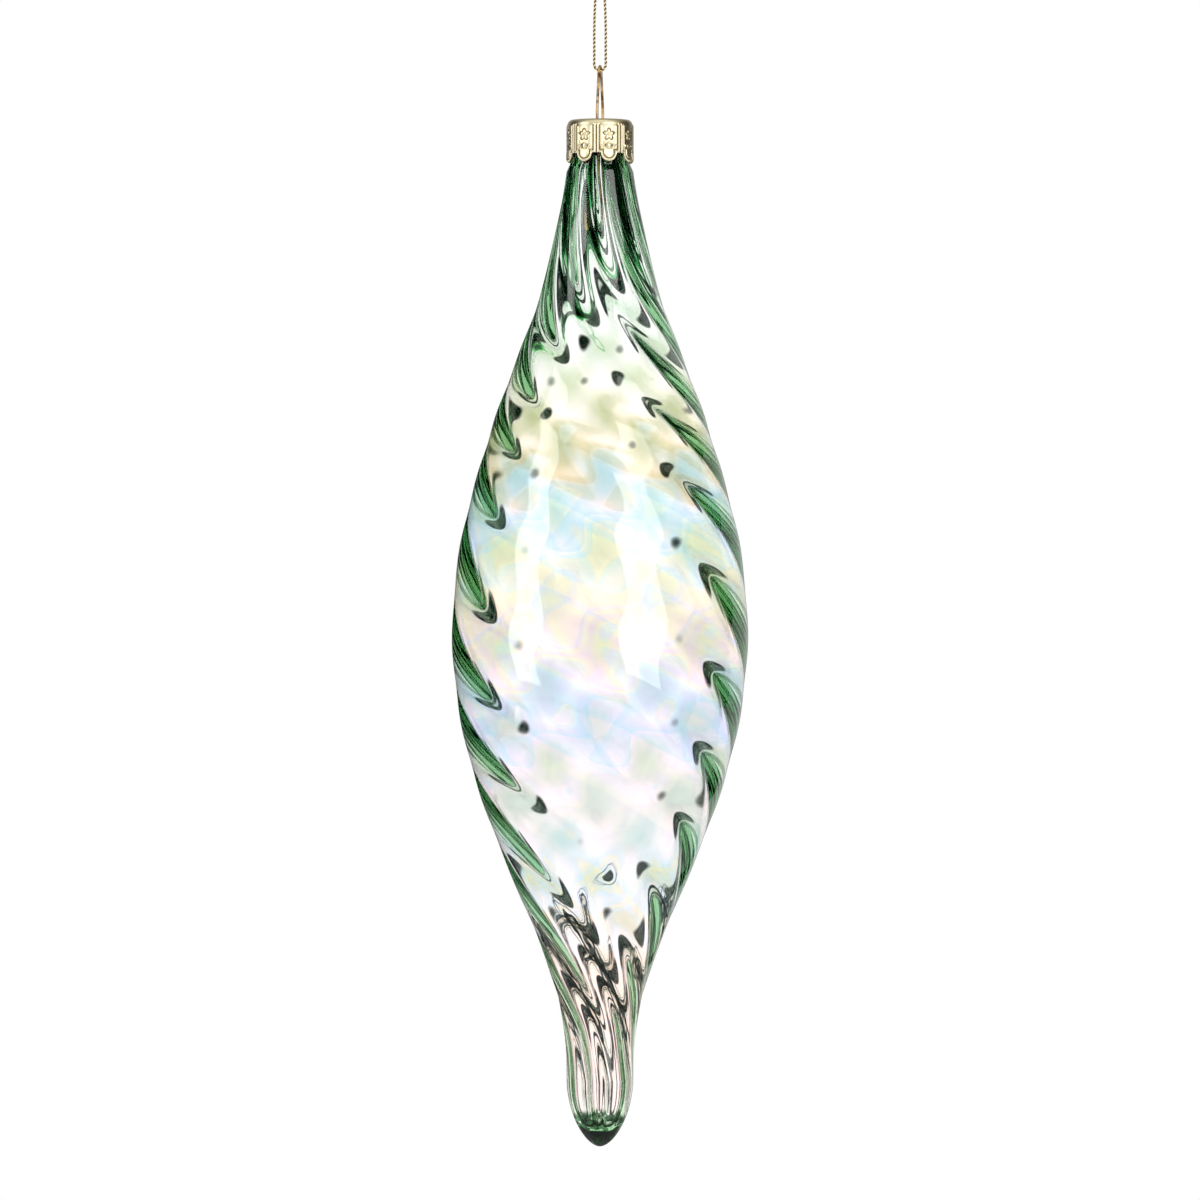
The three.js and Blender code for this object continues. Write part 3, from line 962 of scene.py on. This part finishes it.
def rosette(x, down):
    """Raised petals round a boss."""
    radius = math.hypot(x, down)
    petal = (1 + math.cos(ROSETTE_PETALS * math.atan2(x, -down))) / 2
    reach = ROSETTE_RADIUS * (PETAL_NOTCH + (1 - PETAL_NOTCH) * math.sqrt(petal))
    body = 1 - ease(PETAL_FALL * reach, reach, radius)
    outline = bell(radius - PETAL_OUTLINE * reach, OUTLINE_WIDTH)
    ring = bell(radius - BOSS_SHARE * ROSETTE_RADIUS, BOSS_GROOVE_WIDTH)
    return PETAL_RELIEF * body - GROOVE_RELIEF * (outline + ring)


def seeds(x, depth):
    """Raised seeds with a groove round each."""
    relief, distance, width = SEED_GROOVE
    height = 0
    for across, down, radius in SEEDS:
        gap = math.hypot(x - across, depth - down)
        height += bell(gap, radius) - relief * bell(gap - distance * radius, width * radius)
    return height


def cap_outline():
    """The skirt and shoulder in section, from inside the top, round the lower edge, to the top."""
    inside = [(CAP_BORE - inward, CAP_WALL + down) for inward, down in CAP_INSIDE_CORNER]
    skirt = CAP_SKIRT - CAP_SKIRT_TOP
    rows = [CAP_SKIRT_TOP + skirt * i / SKIRT_ROWS for i in range(SKIRT_ROWS + 1)]
    inside += [(CAP_BORE, row) for row in rows[::INNER_ROW_STEP]]
    inset = CAP_WALL * EDGE_INSET
    edge = CAP_SKIRT + EDGE_BULGE
    rounded_edge = [(CAP_BORE + inset, edge), (CAP_RADIUS - inset, edge)]
    outside = [(CAP_RADIUS, row) for row in reversed(rows)]
    shoulder = [
        (
            CAP_RADIUS - CAP_SHOULDER * (1 - math.cos(angle)),
            CAP_SKIRT_TOP - CAP_SKIRT_TOP * math.sin(angle),
        )
        for angle in (math.pi / 2 * i / SHOULDER_STEPS for i in range(1, SHOULDER_STEPS + 1))
    ]
    return inside + rounded_edge + outside + shoulder


def shape_cap(bm, emboss):
    """Stretch the skirt over its lobes, and raise the stamped ornament on its outside."""
    relief = bm.verts.layers.float.new("relief")
    for vert in bm.verts:
        radius = math.hypot(vert.co.x, vert.co.y)
        depth = -vert.co.z
        if depth <= CAP_SKIRT_TOP - MERGE_DISTANCE and radius < CAP_RADIUS - MERGE_DISTANCE:
            continue
        angle = math.atan2(vert.co.y, vert.co.x)
        side = panel_side(angle)
        stretch = max(0, (depth - CAP_SKIRT_TOP) / (CAP_SKIRT - CAP_SKIRT_TOP))
        depth += lobe_drop(side) * stretch
        radius += LOBE_FLARE * ease(CAP_SKIRT - EDGE_BAND, CAP_SKIRT + LOBE_DROP, depth)
        if radius > CAP_BORE + CAP_WALL / 2:
            height = stamped_relief(side, depth)
            vert[relief] = height
            radius += emboss * height
        vert.co = Vector((radius * math.cos(angle), radius * math.sin(angle), -depth))


def plate_with_holes(bm, ring, height):
    """Fill a ring at a height, leaving the bail's two holes open; gives the holes' edges."""
    holes = []
    for side in (-1, 1):
        place = Matrix.Translation((0, side * LEG_HALF_SPACING, height))
        circle = bmesh.ops.create_circle(
            bm, segments=BAIL_HOLE_SIDES, radius=BAIL_HOLE_RADIUS, matrix=place
        )
        holes.append(list({edge for vert in circle["verts"] for edge in vert.link_edges}))
    bmesh.ops.triangle_fill(bm, use_beauty=True, edges=ring + holes[0] + holes[1])
    return holes


def boundary_at(bm, height):
    """The open edges of a mesh at a height."""
    return [
        edge for edge in bm.edges
        if edge.is_boundary and all(abs(vert.co.z - height) < MERGE_DISTANCE for vert in edge.verts)
    ]


def smooth_table(places, values):
    """A smooth curve through values at places, as a function of the place."""
    spans = [b - a for a, b in zip(places, places[1:])]
    rises = [(b - a) / span for a, b, span in zip(values, values[1:], spans)]
    slopes = [
        (spans[i + 1] * rises[i] + spans[i] * rises[i + 1]) / (spans[i] + spans[i + 1])
        for i in range(len(spans) - 1)
    ]
    slopes.insert(0, 1.5 * rises[0] - 0.5 * slopes[0])
    slopes.append(1.5 * rises[-1] - 0.5 * slopes[-1])

    def value_at(place):
        place = min(max(place, places[0]), places[-1])
        i = min(bisect_right(places, place) - 1, len(spans) - 1)
        leave, arrive = (slope * spans[i] for slope in slopes[i:i + 2])
        return cubic((place - places[i]) / spans[i], values[i], leave, values[i + 1], arrive)

    return value_at


def straight_table(rows, column):
    """The straight lines through one column of a table, as a function of its first column."""
    def value_at(place):
        for (start, *a), (end, *b) in zip(rows, rows[1:]):
            if place <= end:
                share = max(0, (place - start) / (end - start))
                return a[column] + (b[column] - a[column]) * share
        return rows[-1][column + 1]

    return value_at


def rounded_end(depth, end, roundness):
    """1 at the end of the body, 0 at the pole of the tip."""
    share = min(max((depth - BODY_LENGTH) / (end - BODY_LENGTH), 0), 1)
    return max(0, 1 - share**roundness) ** (1 / roundness)


class Drop:
    """The drop's walls: radius and rise of the ribs at any depth below its rim."""

    def __init__(self, glass):
        depths = [share * BODY_LENGTH for share, _, _ in BODY_STATIONS]
        radii = [share * glass.belly / 2 for _, share, _ in BODY_STATIONS]
        self.radius = smooth_table(depths, radii)
        self.turn = smooth_table(depths, [math.radians(turn) for _, _, turn in BODY_STATIONS])
        self.wall = straight_table(WALL_STATIONS, 0)
        self.rib = straight_table(WALL_STATIONS, 1)
        self.ripple = glass.ripple
        self.length = BODY_LENGTH + TIP_LENGTH
        self.cavity = self.length - TIP_SOLID

    def outside(self, depth):
        """Radius and rise of the outer surface."""
        throat = ease(NECK_LENGTH, NECK_LENGTH + THROAT_LENGTH, depth)
        side = NECK_RADIUS + (self.radius(depth) - NECK_RADIUS) * throat
        end = rounded_end(depth, self.length, TIP_ROUNDNESS)
        rise = self.ripple * ease(NECK_LENGTH, NECK_LENGTH + RIPPLE_START, depth)
        return side * end, rise * end

    def inside(self, depth):
        """Radius and rise of the inner surface, whose ribs stand towards the axis."""
        body = min(depth, BODY_LENGTH)
        end = rounded_end(depth, self.cavity, CAVITY_ROUNDNESS)
        return (self.outside(body)[0] - self.wall(body)) * end, -self.rib(body) * end

    def rows(self, end):
        """Depths of the rows, close together near the pole."""
        body = [BODY_LENGTH * i / BODY_ROWS for i in range(BODY_ROWS)]
        tip = [
            BODY_LENGTH + (end - BODY_LENGTH) * math.sin(math.pi / 2 * i / TIP_ROWS)
            for i in range(TIP_ROWS + 1)
        ]
        return body + tip


def blow_glass(bm, drop):
    """Spin the drop's section, then move each vertex with the ribs: in or out, and round."""
    layers = bm.verts.layers.float
    depth_layer = layers.new("depth")
    wave_layer = layers.new("rib_wave")
    end_layer = layers.new("rib_end")
    rise_layer = layers.new("rise")
    section = [(depth, *drop.outside(depth)) for depth in reversed(drop.rows(drop.length))]
    section += [(depth, *drop.inside(depth)) for depth in drop.rows(drop.cavity)]
    verts = []
    for depth, radius, rise in section:
        vert = bm.verts.new((radius, 0, -depth))
        vert[depth_layer] = depth
        vert[rise_layer] = rise
        verts.append(vert)
    spin_section(bm, verts, GLASS_COLUMNS)
    for vert in bm.verts:
        depth = vert[depth_layer]
        angle = math.atan2(vert.co.y, vert.co.x)
        wave = math.cos(RIB_COUNT * angle)
        rib = round(RIB_COUNT * angle / FULL_TURN) % RIB_COUNT
        radius = max(0, math.hypot(vert.co.x, vert.co.y) + vert[rise_layer] * wave)
        angle += drop.turn(depth) + RIB_PHASE
        vert[wave_layer] = wave
        vert[end_layer] = math.sin(RIB_UNEVENNESS * rib)
        vert.co = Vector((radius * math.cos(angle), radius * math.sin(angle), RIM - depth))
    layers.remove(layers["rise"])


class ORNAMENT_OT_add_stage(bpy.types.Operator):
    """Add the camera, the softboxes, the backdrop and the floor"""

    bl_idname = "ornament.add_stage"
    bl_label = "Stage"

    def execute(self, context):
        stage = context.scene.ornament.stage
        self.add_camera(context, stage)
        context.scene.world = bpy.data.worlds.new("studio")
        light_world(Nodes(context.scene.world), stage)
        add_softbox("left softbox", stage.azimuth, LEFT_LAMP, stage.left_power)
        add_softbox("right softbox", stage.azimuth, RIGHT_LAMP, stage.right_power)
        self.add_floor()
        context.scene.view_settings.view_transform = "Standard"
        for kind in ("max_bounces", "transmission_bounces", "glossy_bounces"):
            setattr(context.scene.cycles, kind, LIGHT_BOUNCES)
        return {"FINISHED"}

    def add_camera(self, context, stage):
        data = bpy.data.cameras.new("camera")
        data.sensor_width = SENSOR_WIDTH
        data.lens = SENSOR_WIDTH / 2 * stage.distance / stage.half_frame
        camera = add_object("camera", data)
        camera.location = (
            stage.distance * math.sin(stage.azimuth),
            -stage.distance * math.cos(stage.azimuth),
            FRAME_MIDDLE,
        )
        camera.rotation_euler = (math.pi / 2, 0, stage.azimuth)
        context.scene.camera = camera

    def add_floor(self):
        bm = bmesh.new()
        place = Matrix.Translation((0, 0, FLOOR_HEIGHT))
        bmesh.ops.create_circle(
            bm, cap_ends=True, segments=FLOOR_SIDES, radius=FLOOR_RADIUS, matrix=place
        )
        floor = add_mesh(bm, "floor", floor_material())


def add_softbox(name, camera_azimuth, lamp, power):
    """A rectangular lamp that faces the middle of the ornament."""
    from_camera, width = lamp
    azimuth = camera_azimuth + from_camera
    data = bpy.data.lights.new(name, "AREA")
    data.shape = "RECTANGLE"
    data.size = width
    data.size_y = LAMP_HEIGHT
    data.energy = power
    softbox = add_object(name, data)
    away = Vector((
        math.sin(azimuth) * math.cos(LAMP_ELEVATION),
        -math.cos(azimuth) * math.cos(LAMP_ELEVATION),
        math.sin(LAMP_ELEVATION),
    ))
    softbox.location = Vector((0, 0, FRAME_MIDDLE)) + away * LAMP_DISTANCE
    softbox.rotation_euler = (-away).to_track_quat("-Z", "Y").to_euler()


def light_world(nodes, stage):
    """White to the camera. Through the glass, a ring of white panels with dark gaps between them,
    under a dark ceiling. The glass mirrors three softboxes, and the metal a bright front, dark
    sides and a fair back and top."""
    direction = nodes.add("ShaderNodeTexCoord", output="Generated")
    parts = nodes.node("ShaderNodeSeparateXYZ", None, {0: direction})
    x, y, z = (Socket(nodes, parts.outputs[i]) for i in range(3))
    azimuth = x.math("ARCTAN2", x, -1 * y) - stage.azimuth
    elevation = z.math("ARCSINE", z)
    from_back = azimuth + math.pi
    from_panel = from_back.math("PINGPONG", from_back, math.pi / stage.panels)
    below_top = 1 - nodes.edge(elevation, PANEL_TOP, 2 * PANEL_SOFTNESS)
    above_bottom = nodes.edge(elevation, PANEL_BOTTOM, 2 * PANEL_SOFTNESS)
    on_panel = 1 - nodes.edge(from_panel, PANEL_HALF_WIDTH, PANEL_SOFTNESS)
    white = PANEL_LEVEL * on_panel * below_top * above_bottom

    camera, glossy, sharp, through = light_paths(nodes)
    mirrored = glossy * (1 - through)
    in_glass = mirrored * sharp
    softboxes = (
        softbox_image(nodes, azimuth, elevation, LEFT_LAMP)
        + softbox_image(nodes, azimuth, elevation, RIGHT_LAMP)
        + RIM_SHARE * softbox_image(nodes, azimuth, elevation, RIM_LAMP)
    )
    facing = x * math.sin(stage.azimuth) - y * math.cos(stage.azimuth)
    metal = METAL_FRONT * nodes.ease(facing, SIDE_START, FRONT_START) + METAL_SIDE
    metal = metal + METAL_BACK * nodes.ease(-1 * facing, BACK_START, BACK_FULL)
    metal = metal + METAL_ABOVE * nodes.ease(elevation, ABOVE_START, ABOVE_FULL)
    level = AMBIENT + through * (white - AMBIENT)
    level = level + mirrored * (metal - level)
    level = level + in_glass * (SOFTBOX_LEVEL * softboxes - level)
    level = level + camera * (1 - level)

    grey = nodes.add("ShaderNodeCombineColor", None, {0: level, 1: level, 2: level})
    only_through = through * (1 - camera)
    gap = nodes.ease(from_panel, GAP_START, GAP_FULL) * below_top * only_through
    ceiling = (1 - below_top) * only_through
    colour = nodes.mix(gap, grey, GAP_COLOUR)
    colour = nodes.mix(ceiling, colour, CEILING_COLOUR)
    background = nodes.add("ShaderNodeBackground", None, {"Color": colour, "Strength": 1.0})
    nodes.node("ShaderNodeOutputWorld", None, {"Surface": background})


def softbox_image(nodes, azimuth, elevation, lamp):
    """1 where a direction meets a softbox, 0 outside it."""
    from_camera, width = lamp
    turned = azimuth - from_camera
    sideways = turned.math("PINGPONG", turned, math.pi)
    upwards = elevation - LAMP_ELEVATION
    upwards = upwards.math("ABSOLUTE", upwards)
    half_width = math.atan(width / 2 / LAMP_DISTANCE)
    half_height = math.atan(LAMP_HEIGHT / 2 / LAMP_DISTANCE)
    within_width = 1 - nodes.edge(sideways, half_width, SOFTBOX_EDGE)
    within_height = 1 - nodes.edge(upwards, half_height, SOFTBOX_EDGE)
    return within_width * within_height


class ORNAMENT_OT_add_thread(bpy.types.Operator):
    """Add the loop of twisted thread and the knot that closes it"""

    bl_idname = "ornament.add_thread"
    bl_label = "Thread"

    def execute(self, context):
        thread = context.scene.ornament.thread
        material = thread_material(thread)
        knot = self.add_knot(thread, material)
        route = loop_route()
        bm = bmesh.new()
        sweep(bm, ply_section(bm, thread.diameter), travelling_frames(route, thread.lay))
        loop = finish_piece(bm, "thread_loop", material, "thread", "cord_loop")
        return {"FINISHED"}

    def add_knot(self, thread, material):
        bm = bmesh.new()
        for strand in knot_strands():
            sweep(bm, ply_section(bm, thread.diameter), travelling_frames(strand, thread.lay))
        return finish_piece(bm, "thread_knot", material, "knot", "cord_knot")


class ORNAMENT_OT_add_bail(bpy.types.Operator):
    """Add the sprung wire bail"""

    bl_idname = "ornament.add_bail"
    bl_label = "Bail"

    def execute(self, context):
        wire = context.scene.ornament.wire
        bm = bmesh.new()
        radius = wire.diameter / 2
        section = bmesh.ops.create_circle(bm, segments=WIRE_SIDES, radius=radius)["verts"]
        sweep(bm, section, travelling_frames(bail_route(radius)))
        finish_piece(bm, "wire_bail", wire_material(wire), "bail", "bail")
        return {"FINISHED"}


class ORNAMENT_OT_add_cap(bpy.types.Operator):
    """Add the stamped cap"""

    bl_idname = "ornament.add_cap"
    bl_label = "Cap"

    def execute(self, context):
        cap = context.scene.ornament.cap
        bm = bmesh.new()
        verts = [bm.verts.new((radius, 0, -depth)) for radius, depth in cap_outline()]
        spin_section(bm, verts, CAP_PANELS * COLUMNS_PER_PANEL)
        shape_cap(bm, cap.emboss)
        upper = plate_with_holes(bm, boundary_at(bm, 0), 0)
        lower = plate_with_holes(bm, boundary_at(bm, -CAP_WALL), -CAP_WALL)
        for above, below in zip(upper, lower):
            bmesh.ops.bridge_loops(bm, edges=above + below)
        bmesh.ops.translate(bm, vec=(0, 0, CAP_TOP), verts=bm.verts)
        piece = finish_piece(bm, "stamped_cap", cap_material(cap), "cap", "cap")
        piece.data.set_sharp_from_angle(angle=CAP_SHARP_ANGLE)
        return {"FINISHED"}


class ORNAMENT_OT_add_glass(bpy.types.Operator):
    """Add the blown glass drop"""

    bl_idname = "ornament.add_glass"
    bl_label = "Glass drop"

    def execute(self, context):
        glass = context.scene.ornament.glass
        bm = bmesh.new()
        blow_glass(bm, Drop(glass))
        finish_piece(bm, "glass_drop", glass_material(glass), "glass", "glass_body")
        return {"FINISHED"}


class ORNAMENT_PT_sidebar(bpy.types.Panel):
    """Sizes and colours of the ornament, and a button for each of its pieces"""

    bl_idname = "ORNAMENT_PT_sidebar"
    bl_label = "Glass Spiral Ornament"
    bl_space_type = "VIEW_3D"
    bl_region_type = "UI"
    bl_category = "Ornament"

    def draw(self, context):
        settings = context.scene.ornament
        groups = [
            (settings.stage, ORNAMENT_OT_add_stage),
            (settings.thread, ORNAMENT_OT_add_thread),
            (settings.wire, ORNAMENT_OT_add_bail),
            (settings.cap, ORNAMENT_OT_add_cap),
            (settings.glass, ORNAMENT_OT_add_glass),
        ]
        for group, operator in groups:
            box = self.layout.box()
            for name in group.__annotations__:
                box.prop(group, name)
            box.operator(operator.bl_idname)


CLASSES = [
    ThreadSettings, WireSettings, CapSettings, GlassSettings, StageSettings, OrnamentSettings,
    ORNAMENT_OT_add_stage, ORNAMENT_OT_add_thread, ORNAMENT_OT_add_bail, ORNAMENT_OT_add_cap,
    ORNAMENT_OT_add_glass, ORNAMENT_PT_sidebar,
]


def register():
    for cls in CLASSES:
        bpy.utils.register_class(cls)
    bpy.types.Scene.ornament = PointerProperty(type=OrnamentSettings)


def unregister():
    del bpy.types.Scene.ornament
    for cls in reversed(CLASSES):
        bpy.utils.unregister_class(cls)


def main():
    register()
    bpy.ops.ornament.add_stage()
    bpy.ops.ornament.add_thread()
    bpy.ops.ornament.add_bail()
    bpy.ops.ornament.add_cap()
    bpy.ops.ornament.add_glass()


if __name__ == "__main__":
    main()
